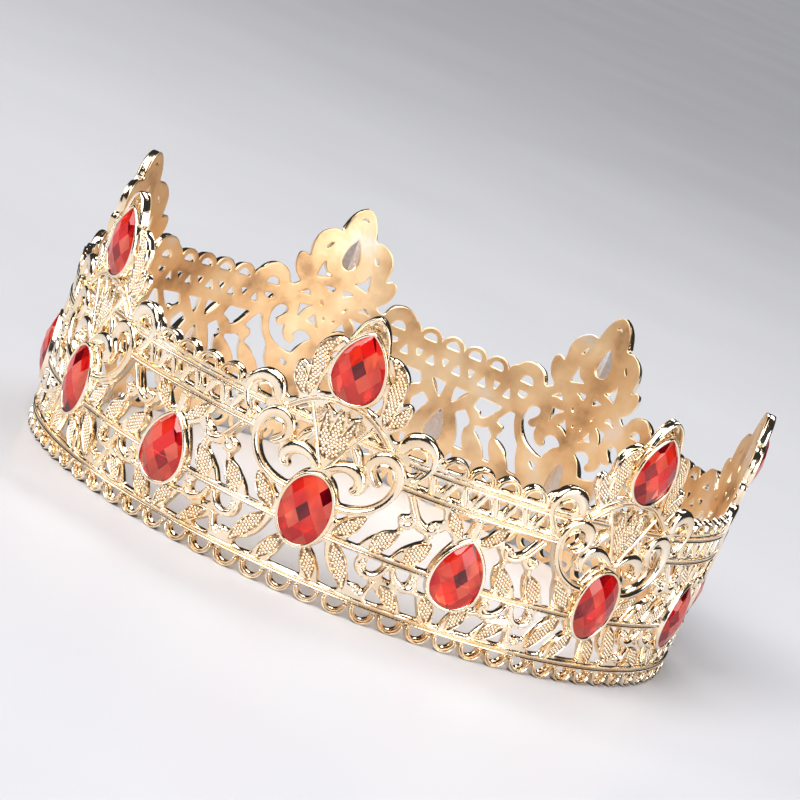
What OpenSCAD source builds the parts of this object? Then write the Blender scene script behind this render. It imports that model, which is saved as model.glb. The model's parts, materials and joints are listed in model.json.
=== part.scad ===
// Ring-shaped crown: seven cast openwork segments, butted into a closed ring, each with a tall
// stone-set peak, an oval stone below it and a pear stone beside it. Z is up and the crown stands
// on its lowest loops at z = 0, with the axis of the ring at x = y = 0 and one peak at -Y.

/* [Head ring] */
// Inner radius of the band that goes round the head
head_r = 87.5; // [85:0.5:90]
// Thickness of the cast wall
wall = 1.7; // [1.4:0.1:2.2]
// How far the wall leans out for each millimetre of height
flare = 0.05; // [0.02:0.01:0.08]
// Height at which the straight inner face of the head band ends and the wall starts to lean
foot_h = 6; // [5:0.5:6]
// How far the loops under the head band are eased open, so that the crown slides on
foot_ease = 0.4; // [0:0.1:0.6]

/* [Stones] */
// Half width of every stone
stone_a = 6.4; // [6:0.1:6.4]
// Half height of the oval stones
oval_b = 8.9; // [8:0.1:9]
// Height of the point of a pear stone over its widest place
pear_tip = 11.3; // [10:0.1:11.5]
// Thickness of a stone from its foil back to its table
stone_t = 4.3; // [3.5:0.1:5]

/* [Stone settings] */
// Thickness of the metal round a stone
bezel_w = 0.75; // [0.6:0.05:0.8]
// How far the setting stands proud of the wall
bezel_h = 1.3; // [0.8:0.1:1.6]
// Metal left behind a stone, round its window
floor_t = 0.6; // [0.4:0.1:0.8]
// Gap between a stone and its setting
stone_gap = 0.05; // [0.02:0.01:0.1]
// Half width of the windows behind the peak and oval stones
window_a = 2.35; // [1.5:0.05:3]
// Half height of an oval window
window_b = 5.4; // [4:0.1:6]
// Height of the point of a peak window over its widest place
peak_window_tip = 6.5; // [5:0.1:7]
// Half width of the window behind a side stone
side_window_a = 2.8; // [2:0.1:3]
// Height of the point of a side window over its widest place
side_window_tip = 7.6; // [6:0.1:8]

/* [Rails and loops] */
// How far the horizontal rails stand proud
rail_proud = 0.8; // [0.4:0.1:1.2]
// Height of the face of the two rails beside the stones
belt_rail_h = 1.7; // [1.2:0.1:2]
// Height of the face of the two rails along the top
top_rail_h = 1.6; // [1.2:0.1:1.8]
// Outer radius of the loops along the foot
foot_loop_r = 3.5; // [3.4:0.05:3.6]
// Outer radius of the loops along the top
top_loop_r = 3.6; // [3.4:0.05:3.7]
// Radius of the half-round eye in a loop
eye_r = 2.05; // [1.5:0.05:2.3]

/* [Hidden] */
repeats = 7;
pitch = 80.8;              // length of one repeat along the wall
side_u = pitch / 2;        // place of the side stone
belt_z = 22.2;             // height of the oval stones, from which the pattern is drawn
seam_u = -33.05;           // left end of a segment, in the valley between two loops
foot_pitch = pitch / 11;   // eleven loops along the foot of one repeat
foot_loop_z = -18.8;
top_loop_z = 21.45;
top_loop_us = [3.5, 10.5]; // places of the top loops, from the side stone
belt_rails = [-17.4, -4.8];
top_rails = [13.35, 19.5];
rail_end_u = 18.9;         // where the top rails end, at the heart scroll
band_low = -18.6;          // the band between the rows of loops
ease_z = 3.6;              // top of the eased stretch, just over the eyes of the loops
band_high = 21.7;
crown_h = belt_z + 50.5;   // a little over the tips
reach = 12;                // how far a cutting shape passes the wall
lean = atan(flare);
eps = 0.01;

oval_z = -0.6;             // centres of the stones, from the belt line
peak_z = 34;
side_z = -4.6;
side_window_rise = 1.4;    // how far a side window sits over the widest place of its stone

segment_names = [for (k = [1:repeats]) str("frame_segment_", k)];
peak_names = [for (k = [1:repeats]) str("peak_stone_", k)];
oval_names = [for (k = [1:repeats]) str("oval_stone_", k)];
side_names = [for (k = [1:repeats]) str("side_stone_", k)];

// The pattern is drawn flat, as [distance along the wall, height over the belt line], for the
// right half of one repeat. The left half is its mirror image.

// Right half of the crest: the arch over the peak stone, the leaf, the leaflet and the scroll
crest = [
    [0, 50], [1.4, 49.5], [2.8, 48], [3.8, 46.2], [4.5, 44.2], [4.9, 42.3], [5.4, 41.7],
    [7, 42], [9, 41.3], [10.8, 39.9], [11.9, 38.1], [12.3, 36], [12.2, 33.8], [12.1, 31.9],
    [12.9, 32.6], [14, 32.9], [15.1, 32.3], [15.6, 30.9], [15.3, 28.5], [14.3, 26.5],
    [12.9, 25.2], [12, 24.4], [12.9, 23.7], [13.9, 23], [15.1, 23.6], [15.6, 24.9],
    [16.6, 26.2], [18.1, 27.1], [19.9, 27.5], [21.7, 27.3], [23.3, 26.4], [24.3, 25.3],
    [25.4, 24.7], [26.4, 23.5], [26.8, 21], [26.8, 18]
];

function disc(x, z, r, n = 28) = [for (i = [0:n - 1]) [x + r * cos(360 * i / n), z + r * sin(360 * i / n)]];
function half_disc(x, z, r, up) = [for (i = [0:10]) [x + r * cos(18 * i), z + up * r * sin(18 * i)]];
function wedge_hole(x, tip, base, w) = [[x, tip], [x - w / 2, base], [x + w / 2, base]];

// Openings between the peak stone, its leaves and the arc under it
crest_openings = [
    [[3.4, 28.5], [5.2, 29.2], [6.4, 30.5], [7, 32.4], [7.6, 30.2], [7.9, 27.2], [5.6, 27.9]],
    [[6.4, 38], [7, 37.8], [7.9, 36.6], [8.3, 35.6], [7.5, 35.9], [6.9, 36.9]],
    [[1.2, 25.7], [2.9, 25.6], [4.6, 25.3], [3, 24.6], [1.7, 23.8]]
];

// Openings in the fan: petals, ribs and the two corners beside its handle
fan_openings = [
    [[7.5, 21.4], [8.4, 22.6], [9.1, 23], [10.2, 22.3], [11.6, 21.1], [9.5, 21.7]],
    [[3, 19.4], [3.4, 20.6], [4.2, 21.3], [3.9, 20.2]],
    [[5.7, 18.9], [7.6, 18.5], [9.7, 18.5], [9.5, 16.5], [9.1, 14.4], [8.6, 15.8], [7.5, 17.6]],
    [[1, 15.5], [1.5, 16.8], [1.9, 16.9], [1.6, 15.8]],
    [[2, 12.6], [3.2, 14.6], [4.5, 16.9], [5.1, 15.4], [6.3, 14.4], [4, 13.9]]
];

// Openings along the heart scroll: its inside, with both curls, and the wall beyond it
heart_openings = [
    [
        [2.6, 9.3], [4, 10.5], [5.6, 11.1], [7.2, 10.8], [8.2, 9.9], [8.3, 8.8], [7.6, 8],
        [7.7, 7.1], [8.7, 6.6], [10.1, 6.9], [11.3, 8], [12, 9.6], [12, 11.4], [13, 10.7],
        [14.2, 10.7], [15, 11.3], [14.8, 12.4], [13.4, 13.7], [12.6, 15.1], [12.8, 16.2],
        [14.2, 16.6], [15.7, 16.2], [16.8, 14.9], [17.2, 12.9], [16.9, 10.8], [16, 8.6],
        [14.5, 6.7], [12.2, 5.2], [9.5, 4.3], [7, 3.9], [6.2, 5.2], [5.3, 6.9], [4.2, 8.3]
    ],
    [
        [19.4, 12], [21.2, 12], [22.4, 10.3], [23.9, 7.8], [22.9, 7.4], [21.8, 7], [21.3, 6.2],
        [21.5, 4.9], [22.3, 3.9], [22.2, 2.9], [20.9, 2.1], [19, 1], [17.2, -0.5], [15.7, -2.3],
        [14.9, -3.9], [11.9, -3.9], [13.2, -1.6], [14.2, 0.5], [14.7, 2.5], [15.2, 4],
        [16.9, 6], [18.3, 8.4], [19.1, 10.4]
    ],
    [[7.2, 1.3], [8.6, 1.6], [10, 1.8], [8.8, 0.6], [7.6, -0.3]],
    half_disc(20.05, 21.3, 2.1, 1),
    [[18.3, 18.6], [21.5, 18.6], [21, 17.4], [19.2, 17], [18.6, 17.6]]
];

// Openings over the middle rail, between the leaves and the moustache volutes
upper_openings = [
    [
        [23.8, 12], [25.5, 9.5], [27, 7.7], [28.8, 6.7], [29.3, 7.6], [30.1, 8.3], [31.3, 8.7],
        [32.1, 9.1], [31.4, 10.7], [30.8, 12]
    ],
    [
        [25.4, 5.2], [26.9, 4.3], [29.3, 3.9], [29.3, 2.7], [28, 1.9], [26.4, 0.6], [24.9, -0.9],
        [23.9, -2.4], [23.2, -3.9], [20.8, -3.9], [22.1, -2], [23, -0.2], [23.6, 1.8],
        [23.2, 3.1], [24.2, 3.8]
    ],
    [
        [33.6, 7.1], [36.2, 5.2], [34.9, 2.8], [33.8, 0.2], [33.1, -2], [32.9, -3.9],
        [29.9, -3.9], [31, -2.2], [31.8, -0.2], [32.1, 2.2], [31.3, 2.9], [31.1, 4.2], [32.3, 5.6]
    ],
    [[34.4, 11.9], [39, 11.9], [38.9, 9.6], [38.5, 7.4], [37.4, 8.3], [36, 9.9]]
];

// Openings under the middle rail, between the leaves, the crescents and the hook
lower_openings = [
    [
        [7, -6.1], [7.7, -8.5], [9, -11], [10.9, -13.1], [13.4, -14.5], [14.3, -15.4],
        [13.6, -16.1], [9.2, -16.1], [8.7, -14.4], [7.8, -12.6], [6.2, -10.5], [4.3, -8.8],
        [5.8, -7.6]
    ],
    [
        [11, -6.1], [15.9, -6.1], [15.4, -7.8], [16.1, -9.8], [17.8, -11], [20.7, -11.1],
        [20.6, -12.7], [19.8, -14], [18.6, -13.1], [17, -13.3], [16, -13.2], [15, -11],
        [13.6, -8.9], [12.3, -7.2]
    ],
    [[18.6, -6.1], [22.3, -6.1], [21.8, -7.6], [20.7, -9], [19.2, -9.2], [18.6, -7.8]],
    [[25.8, -6.1], [29.6, -6.1], [29.4, -8.5], [28.6, -9], [27, -8.5], [26, -7.2]],
    [[24.3, -7], [25.6, -9.7], [23.2, -9.1]],
    [[32, -6.1], [33.4, -6.1], [33.7, -7.8], [35.2, -9.8], [32.7, -9.5], [32.3, -8]],
    [[22.3, -12.8], [24.2, -14.3], [26.4, -15.5], [24.5, -16.1], [21.7, -16.1], [21.8, -14.5]],
    [[28.1, -11.9], [30.5, -11.4], [32.7, -11], [33.8, -13.3], [35.4, -16.1], [30.9, -16.1], [29.7, -13.9]]
];

// Lattice between the two top rails: openings with the point up and with the point down
lattice_openings = concat(
    [for (i = [1, 2]) wedge_hole(side_u - 8.15 * i, 18, 15.2, 3 - 0.2 * i)],
    [for (i = [0, 1]) wedge_hole(side_u - 4.1 - 8.15 * i, 15.8, 18, 2.3)],
    [for (u = top_loop_us) half_disc(side_u - u, top_loop_z, eye_r, 1)]
);

// Openings on the axis of the peak and on the axis of the side stone, each its own mirror image
axis_openings = [
    [0, [[-1.3, 46.2], [0, 47.3], [1.3, 46.2], [0, 46.7]]],
    [0, [
        [0, -10.6], [1.8, -10.3], [2.3, -12.2], [3.2, -14.4], [4.2, -16.1],
        [-4.2, -16.1], [-3.2, -14.4], [-2.3, -12.2], [-1.8, -10.3]
    ]],
    [side_u, [
        [-3.5, -11], [-2.1, -12.6], [-1.2, -14.5], [-0.9, -16.1], [0.9, -16.1], [1.2, -14.5],
        [2.1, -12.6], [3.5, -11], [1.8, -11.6], [0, -12], [-1.8, -11.6]
    ]],
    [side_u, [[0, 18], [-1.5, 15.2], [1.5, 15.2]]]
];

pierced = concat(
    crest_openings, fan_openings, heart_openings, upper_openings, lower_openings, lattice_openings
);

function turn(u) = u * 360 / (repeats * pitch);
function inner_r(z) = head_r + flare * max(0, z - foot_h);
function outer_r(z) = head_r + wall + flare * (z - foot_h);
function middle(shape) = (max([for (p = shape) p.x]) + min([for (p = shape) p.x])) / 2;
function near_segment(u) = u > seam_u - 3 && u < seam_u + pitch + 3;
foot_loop_range = [-5:7];  // every foot loop that lies in the segment or crosses its seams

// Bends a drawing of one segment as it is seen square to the middle of that segment
view_u = seam_u + side_u;
function bend(p) = [outer_r(belt_z + p.y) * sin(turn(p.x - view_u)), belt_z + p.y];
function bent(shape, side = 1, along = 0) = [for (p = shape) bend([side * p.x + along, p.y])];

// Outlines of the stones, each round its widest place, counter-clockwise
function oval_outline(a, b, n = 20) = [for (i = [0:n - 1]) [a * cos(360 * i / n), b * sin(360 * i / n)]];
function pear_outline(a, tip, n = 10) =
    let (r = (tip * tip + a * a) / (2 * a), open = acos((r - a) / r))
    concat(
        [for (i = [0:n - 1]) [-a * cos(180 * i / n), -a * sin(180 * i / n)]],
        [for (i = [0:n / 2]) [a - r + r * cos(open * 2 * i / n), r * sin(open * 2 * i / n)]],
        [for (i = [n / 2 - 1:-1:1]) [r - a - r * cos(open * 2 * i / n), r * sin(open * 2 * i / n)]]
    );

// Puts a solid drawn flat on the wall, square to its lean, with z = 0 on the wall's front
module on_wall(u, z) {
    rotate([0, 0, turn(u)]) translate([0, -outer_r(belt_z + z), belt_z + z])
        rotate([90 + lean, 0, 0]) children();
}

// A ring section turned between two distances along the wall
module turned(from, to) {
    rotate([0, 0, turn(from) - 90]) rotate_extrude(angle = turn(to - from), $fn = 180) children();
}

module wall_section() {
    polygon([
        [head_r + foot_ease, 0], [outer_r(0), 0], [outer_r(crown_h), crown_h],
        [inner_r(crown_h), crown_h], [head_r, foot_h], [head_r, ease_z]
    ]);
}

// A rail with chamfered edges, of the given height, centred z over the belt line
module rail_section(z, h) {
    low = belt_z + z - h / 2;
    high = belt_z + z + h / 2;
    polygon([
        [outer_r(low) - wall / 2, low], [outer_r(low) + rail_proud - 0.3, low],
        [outer_r(low) + rail_proud, low + 0.3], [outer_r(high) + rail_proud, high - 0.3],
        [outer_r(high) + rail_proud - 0.3, high], [outer_r(high) - wall / 2, high]
    ]);
}

// The solid outline of a segment, a little longer than the segment at both ends
module outline() {
    polygon(bent([
        [seam_u - 2, band_low], [seam_u + pitch + 2, band_low], [seam_u + pitch + 2, band_high],
        [seam_u - 2, band_high]
    ]));
    polygon(concat(bent(crest), [for (i = [len(crest) - 1:-1:1]) bend([-crest[i].x, crest[i].y])]));
    for (k = foot_loop_range) polygon(bent(disc(foot_pitch * k, foot_loop_z, foot_loop_r)));
    for (at = [side_u, -side_u], side = [-1, 1], u = top_loop_us)
        if (near_segment(at + side * u)) polygon(bent(disc(at + side * u, top_loop_z, top_loop_r)));
}

// Every opening that lies in the segment or crosses its seams, mirrored and repeated as needed
module openings() {
    for (shape = pierced, side = [1, -1], along = [-pitch, 0, pitch])
        if (near_segment(side * middle(shape) + along)) polygon(bent(shape, side, along));
    for (opening = axis_openings) polygon(bent(opening[1], 1, opening[0]));
    for (k = foot_loop_range)
        polygon(bent(half_disc(foot_pitch * k, foot_loop_z + 0.1, eye_r, -1)));
}

// The openwork plate: the drawing cut through the wall, from seam to seam. The hair's breadth of
// offset joins outlines that only touch.
module plate() {
    intersection() {
        rotate([0, 0, turn(view_u)]) rotate([90, 0, 0]) translate([0, 0, head_r - 3 * reach / 2])
            linear_extrude(3 * reach) offset(delta = eps) difference() {
                outline();
                openings();
            }
        turned(seam_u, seam_u + pitch) wall_section();
    }
}

module settings(grow, low, high) {
    h = high - low;
    on_wall(0, peak_z) translate([0, 0, low])
        linear_extrude(h) polygon(pear_outline(stone_a + grow, pear_tip + grow));
    on_wall(0, oval_z) translate([0, 0, low])
        linear_extrude(h) polygon(oval_outline(stone_a + grow, oval_b + grow));
    on_wall(side_u, side_z) translate([0, 0, low])
        linear_extrude(h) polygon(pear_outline(stone_a + grow, pear_tip + grow));
}

// Pear and oval windows in the floors of the settings
module windows() {
    on_wall(0, peak_z) translate([0, 0, -reach / 2])
        linear_extrude(reach / 2) polygon(pear_outline(window_a, peak_window_tip));
    on_wall(0, oval_z) translate([0, 0, -reach / 2])
        linear_extrude(reach / 2) polygon(oval_outline(window_a, window_b));
    on_wall(side_u, side_z + side_window_rise) translate([0, 0, -reach / 2])
        linear_extrude(reach / 2) polygon(pear_outline(side_window_a, side_window_tip));
}

// One casting: a repeat of the ring, from seam to seam
module frame_segment(k) {
    color("#d8b588") rotate([0, 0, (k - 1) * 360 / repeats]) difference() {
        union() {
            plate();
            for (z = belt_rails) turned(seam_u, seam_u + pitch) rail_section(z, belt_rail_h);
            for (z = top_rails) {
                turned(seam_u, -rail_end_u) rail_section(z, top_rail_h);
                turned(rail_end_u, seam_u + pitch) rail_section(z, top_rail_h);
            }
            settings(bezel_w, -wall * 0.6, bezel_h);
        }
        settings(stone_gap, floor_t - wall, reach);
        windows();
    }
}

// A foil-backed cut stone, lying in its setting: rings of facets from the back to the table
module stone(outline) {
    rings = [[0, 0.62], [0.36, 1], [0.52, 1], [0.82, 0.78], [1, 0.45]];
    n = len(outline);
    points = [for (ring = rings, p = outline) [p.x * ring[1], p.y * ring[1], ring[0] * stone_t]];
    sides = [
        for (j = [0:len(rings) - 2], i = [0:n - 1])
            [j * n + i, (j + 1) * n + i, (j + 1) * n + (i + 1) % n, j * n + (i + 1) % n]
    ];
    back = [for (i = [0:n - 1]) i];
    table = [for (i = [n - 1:-1:0]) (len(rings) - 1) * n + i];
    translate([0, 0, floor_t - wall]) polyhedron(points, concat([back, table], sides));
}

module peak_stone(k) {
    color("#c8102e") rotate([0, 0, (k - 1) * 360 / repeats])
        on_wall(0, peak_z) stone(pear_outline(stone_a, pear_tip));
}

module oval_stone(k) {
    color("#c8102e") rotate([0, 0, (k - 1) * 360 / repeats])
        on_wall(0, oval_z) stone(oval_outline(stone_a, oval_b));
}

module side_stone(k) {
    color("#c8102e") rotate([0, 0, (k - 1) * 360 / repeats])
        on_wall(side_u, side_z) stone(pear_outline(stone_a, pear_tip));
}

for (k = [1:repeats]) {
    frame_segment(k);
    peak_stone(k);
    oval_stone(k);
    side_stone(k);
}
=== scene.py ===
import json
import math

import bmesh
import bpy
import numpy as np
from mathutils import Matrix, Vector, kdtree
from mathutils.geometry import delaunay_2d_cdt


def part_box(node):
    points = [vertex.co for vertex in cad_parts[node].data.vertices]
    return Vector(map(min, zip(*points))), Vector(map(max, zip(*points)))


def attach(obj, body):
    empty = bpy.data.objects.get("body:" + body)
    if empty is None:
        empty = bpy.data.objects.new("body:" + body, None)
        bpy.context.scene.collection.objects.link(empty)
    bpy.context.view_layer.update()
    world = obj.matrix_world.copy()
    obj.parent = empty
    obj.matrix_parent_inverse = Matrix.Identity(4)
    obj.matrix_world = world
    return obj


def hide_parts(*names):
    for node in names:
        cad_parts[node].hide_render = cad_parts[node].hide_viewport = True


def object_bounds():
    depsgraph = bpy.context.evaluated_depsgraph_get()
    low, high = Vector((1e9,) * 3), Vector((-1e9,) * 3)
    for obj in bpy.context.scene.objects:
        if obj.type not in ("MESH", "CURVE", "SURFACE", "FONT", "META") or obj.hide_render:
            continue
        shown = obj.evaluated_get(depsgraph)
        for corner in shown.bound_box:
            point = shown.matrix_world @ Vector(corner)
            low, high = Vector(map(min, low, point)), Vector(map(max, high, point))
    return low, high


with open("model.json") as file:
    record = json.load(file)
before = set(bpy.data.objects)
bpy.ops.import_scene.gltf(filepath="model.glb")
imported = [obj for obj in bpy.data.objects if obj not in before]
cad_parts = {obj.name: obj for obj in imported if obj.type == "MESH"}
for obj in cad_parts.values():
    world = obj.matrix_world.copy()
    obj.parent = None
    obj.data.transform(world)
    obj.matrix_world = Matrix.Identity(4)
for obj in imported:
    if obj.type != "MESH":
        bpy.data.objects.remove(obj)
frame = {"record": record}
cad_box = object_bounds()

# ---------------------------------------------------------------------------------------------
# Sizes. The pattern is drawn flat, in millimetres: along the wall, over the belt line, and out
# from the wall's front. The belt line is the height of the oval stones.
# ---------------------------------------------------------------------------------------------
MM = 0.001
REPEATS = 7
PITCH = 80.8
SIDE_U = PITCH / 2
SEAM_U = -33.05
WALL = 1.7
FLARE = 0.05
LEAN = math.atan(FLARE)
FOOT_H = 6.0
head_mount = next(m for m in frame["record"]["mounts"] if m["name"] == "head_opening")
HEAD_R = head_mount["dims"]["r_mm"]
OVAL_Z, PEAK_Z, SIDE_Z = -0.6, 34.0, -4.6
oval_low, oval_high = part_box("oval_stone_1")
BELT_Z = (oval_low.z + oval_high.z) / 2 / MM - OVAL_Z

STONE_A, OVAL_B, PEAR_TIP = 6.4, 8.9, 11.3
WINDOW_A, WINDOW_B, PEAK_WINDOW_TIP = 2.35, 5.4, 6.5
SIDE_WINDOW_A, SIDE_WINDOW_TIP, SIDE_WINDOW_RISE = 2.8, 7.6, 1.4
POCKET_W = -1.1            # the floor that a stone lies on
CULET_W = -1.65            # the keel of the foiled back, which shows in the window
KEEL_RISE = 0.2            # how steeply the back rises from its keel
KEEL_END = 0.6             # where the keel ends, as a share of the stone's half height
GIRDLE_LOW, GIRDLE_HIGH, TABLE_W = 0.45, 1.1, 3.15
BEZEL_W = 0.8
BAND_LOW, BAND_HIGH = -18.6, 21.7
FOOT_LOOPS, FOOT_LOOP_Z, FOOT_LOOP_R = 11, -18.8, 3.5
TOP_LOOP_Z, TOP_LOOP_R = 21.45, 3.6
TOP_LOOP_US = (SIDE_U - 3.5, SIDE_U - 10.5)
EYE_R = 2.05
LOW_RAIL_ZS, LOW_RAIL_H = (-17.45, -4.8), 1.6
TOP_RAIL_ZS, TOP_RAIL_H = (13.35, 19.5), 1.65
RAIL_END_U = 18.9          # where the top rails meet the heart
RIB_W = 1.15               # breadth of the ribs on the loops
EDGE = (0, 0.2, 0.42, 0.65)          # the front of the wall falls away towards every edge:
EDGE_DROP = (1.4, 0.5, 0.1, 0)       # how far, at these distances from the edge
BACK_DROP = 0.12
LAP = 0.005                # how far the units run into each other at the seams
SINK = -0.85               # how far the relief is sunk into the wall
SWEEP_STEP = 0.45          # how long the stretches of a swept line are
FACET_STEP = 0.31          # the checkerboard's step, as a share of the stone's half width
CROWN_BEVEL = (0.72, 0.7)  # how the facets over the girdle face, outwards and up
PAVILION_BEVEL = (0.8, -0.6)    # and those under it
PAINTED_LIGHT_SHIFT = 0.37          # how far the painted light of the facets moves on from one unit to the next


# ---------------------------------------------------------------------------------------------
# Lines
# ---------------------------------------------------------------------------------------------
def mirrored(points):
    return [(-x, y) for x, y in points]


def symmetric(half):
    """A line through the axis u = 0, from its right half, which starts on the axis."""
    return mirrored(half)[:0:-1] + list(half)


def arc(x, y, r, start, end, n=24):
    a = np.radians(np.linspace(start, end, n))
    return np.stack([x + r * np.cos(a), y + r * np.sin(a)], 1)


def smooth_line(points, closed=False, corner=52.0, step=0.4):
    """A smooth line through the points, which keeps its corners."""
    p = np.array(points, float)
    ahead = np.roll(p, -1, 0) - p
    behind = np.roll(ahead, 1, 0)
    unit = lambda v: v / np.maximum(np.linalg.norm(v, axis=1), 1e-9)[:, None]
    turn = np.degrees(np.arccos(np.clip((unit(ahead) * unit(behind)).sum(1), -1, 1)))
    sharp = turn > corner
    if not closed:
        sharp[[0, -1]] = True
    tangent = unit(unit(ahead) + unit(behind))
    made = []
    for i in range(len(p) if closed else len(p) - 1):
        j = (i + 1) % len(p)
        d = p[j] - p[i]
        length = np.linalg.norm(d)
        m0 = d if sharp[i] else tangent[i] * length
        m1 = d if sharp[j] else tangent[j] * length
        t = (np.arange(max(1, round(length / step))) / max(1, round(length / step)))[:, None]
        made.append(
            (2 * t**3 - 3 * t**2 + 1) * p[i] + (t**3 - 2 * t**2 + t) * m0
            + (3 * t**2 - 2 * t**3) * p[j] + (t**3 - t**2) * m1
        )
    if not closed:
        made.append(p[-1:])
    return np.concatenate(made)


def distances_along(line):
    """How far along the line each of its points is."""
    return np.concatenate([[0], np.cumsum(np.linalg.norm(np.diff(line, axis=0), axis=1))])


def at_distance(s, at, line):
    """The places at the distances s along a line whose points are at the distances at."""
    return np.stack([np.interp(s, at, line[:, i]) for i in (0, 1)], -1)


def outward(outline):
    """Unit normals of a closed outline that runs anticlockwise."""
    ahead = np.roll(outline, -1, 0) - np.roll(outline, 1, 0)
    return np.stack([ahead[:, 1], -ahead[:, 0]], 1) / np.linalg.norm(ahead, axis=1)[:, None]


def soft_loop(points):
    """A closed outline with its corners eased."""
    p = smooth_line(points, closed=True)
    for _ in range(2):
        p = (np.roll(p, 1, 0) + 2 * p + np.roll(p, -1, 0)) / 4
    return p


def oval_outline(a, b, n=48):
    t = np.arange(n) * 2 * np.pi / n
    return np.stack([a * np.cos(t), b * np.sin(t)], 1)


def pear_outline(a, tip, n=24):
    """Half a circle below, and two arcs that meet in a point above."""
    r = (tip * tip + a * a) / (2 * a)
    spread = math.acos((r - a) / r)
    low = np.arange(n) * np.pi / n
    up = np.arange(n // 2 + 1) * spread / (n // 2)
    back = up[-2:0:-1]
    return np.concatenate([
        np.stack([-a * np.cos(low), -a * np.sin(low)], 1),
        np.stack([a - r + r * np.cos(up), r * np.sin(up)], 1),
        np.stack([r - a - r * np.cos(back), r * np.sin(back)], 1),
    ])


def half_disc(x, y, r, up):
    return arc(x, y, r, 0, up * 180, 11)


# ---------------------------------------------------------------------------------------------
# From the flat drawing to the ring. All of them give metres, for the unit at the front.
# ---------------------------------------------------------------------------------------------
def front_r(z):
    return HEAD_R + WALL + FLARE * (BELT_Z + z - FOOT_H)


def on_ring(v):
    """Bends points round the ring."""
    turn = v[:, 0] * 2 * np.pi / (REPEATS * PITCH)
    r = front_r(v[:, 1]) + v[:, 2]
    return np.stack([r * np.sin(turn), -r * np.cos(turn), BELT_Z + v[:, 1]], 1) * MM


def on_wall(v, u, z):
    """Places points drawn round (u, z), flat and square to the wall there."""
    turn = u * 2 * np.pi / (REPEATS * PITCH)
    r = front_r(z) + v[:, 2] * math.cos(LEAN) + v[:, 1] * math.sin(LEAN)
    h = BELT_Z + z + v[:, 1] * math.cos(LEAN) - v[:, 2] * math.sin(LEAN)
    x, y = np.sin(turn), np.cos(turn)
    return np.stack([r * x + v[:, 0] * y, -r * y + v[:, 0] * x, h], 1) * MM


# ---------------------------------------------------------------------------------------------
# Solids, each as (points, faces)
# ---------------------------------------------------------------------------------------------
def dome(height, n=9):
    t = np.linspace(0, np.pi, n)
    return [(-math.cos(a), height * math.sin(a)) for a in t]


ROUND = dome(0.75)
LOW_ROUND = dome(0.5, 7)
TUBE = dome(1.15, 13)
RIDGES = [(-1, 0.05), (-0.95, 0.5), (-0.76, 0.78), (-0.46, 0.8), (-0.2, 0.6), (-0.1, 0.18), (0.04, 0.18),
          (0.14, 0.55), (0.4, 0.78), (0.74, 0.78), (0.95, 0.5), (1, 0.05)]
SCROLL = [(-1, 0.05), (-0.97, 0.5), (-0.85, 0.88), (-0.62, 1.12), (-0.3, 1.15), (0.05, 0.98), (0.35, 0.68),
          (0.52, 0.4), (0.62, 0.42), (0.72, 0.78), (0.84, 0.86), (0.95, 0.6), (1, 0.05)]
BEZEL = [(-1, -0.6), (-1, 1.0), (-0.78, 1.26), (-0.3, 1.4), (0.35, 1.42), (0.95, 1.36), (1.3, 1.22),
         (1.3, 1.05), (1, 1.0), (1, -0.9)]


def tube_faces(n, m, closed=False):
    """Faces of a tube of n sections with m points each. Its ends meet, or they are capped."""
    faces = [
        [i * m + j, i * m + (j + 1) % m, (i + 1) % n * m + (j + 1) % m, (i + 1) % n * m + j]
        for i in range(n if closed else n - 1) for j in range(m)
    ]
    return faces if closed else faces + [list(range(m))[::-1], list(range((n - 1) * m, n * m))]


def stations(length, first, last):
    """Distances along a line, closer together at its rounded ends."""
    start = np.array([0.0, 0.06, 0.2, 0.42, 0.7]) * first
    end = length - np.array([0.7, 0.42, 0.2, 0.06, 0.0]) * last
    between = np.linspace(first, length - last, max(2, int((length - first - last) / SWEEP_STEP) + 1))
    return np.concatenate([start, between, end])


def sweep(line, widths, profile, closed=False):
    """A solid of the given profile and widths along a line. Open ends are round."""
    line = np.array(line, float)
    if closed:
        ahead = np.roll(line, -1, 0) - np.roll(line, 1, 0)
        width = np.full(len(line), float(widths))
        rise = np.ones(len(line))
    else:
        at = distances_along(line)
        widths = np.atleast_1d(np.array(widths, float))
        s = stations(at[-1], min(widths[0] / 2, at[-1] / 3), min(widths[-1] / 2, at[-1] / 3))
        line = at_distance(s, at, line)
        width = np.interp(s / at[-1], np.linspace(0, 1, len(widths)), widths)
        near = np.minimum(np.minimum(s / (widths[0] / 2), (at[-1] - s) / (widths[-1] / 2)), 1)
        rise = np.maximum(np.sqrt(np.maximum(1 - (1 - near) ** 2, 0)), 0.05)
        width = width * rise
        ahead = np.gradient(line, axis=0)
    ahead = ahead / np.maximum(np.linalg.norm(ahead, axis=1), 1e-9)[:, None]
    side = np.stack([-ahead[:, 1], ahead[:, 0]], 1)
    across = np.array([x for x, _ in profile])
    up = np.array([w for _, w in profile])
    if not closed:
        across = np.concatenate([[across[0]], across, [across[-1]]])
        up = np.concatenate([[SINK], up, [SINK]])
    n, m = len(line), len(across)
    points = np.zeros((n, m, 3))
    points[:, :, :2] = line[:, None] + side[:, None] * (across[None, :, None] * width[:, None, None] / 2)
    points[:, :, 2] = np.where(up > 0, up * rise[:, None] ** (0 if closed else 1), up)
    return points.reshape(-1, 3), tube_faces(n, m, closed)


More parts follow.
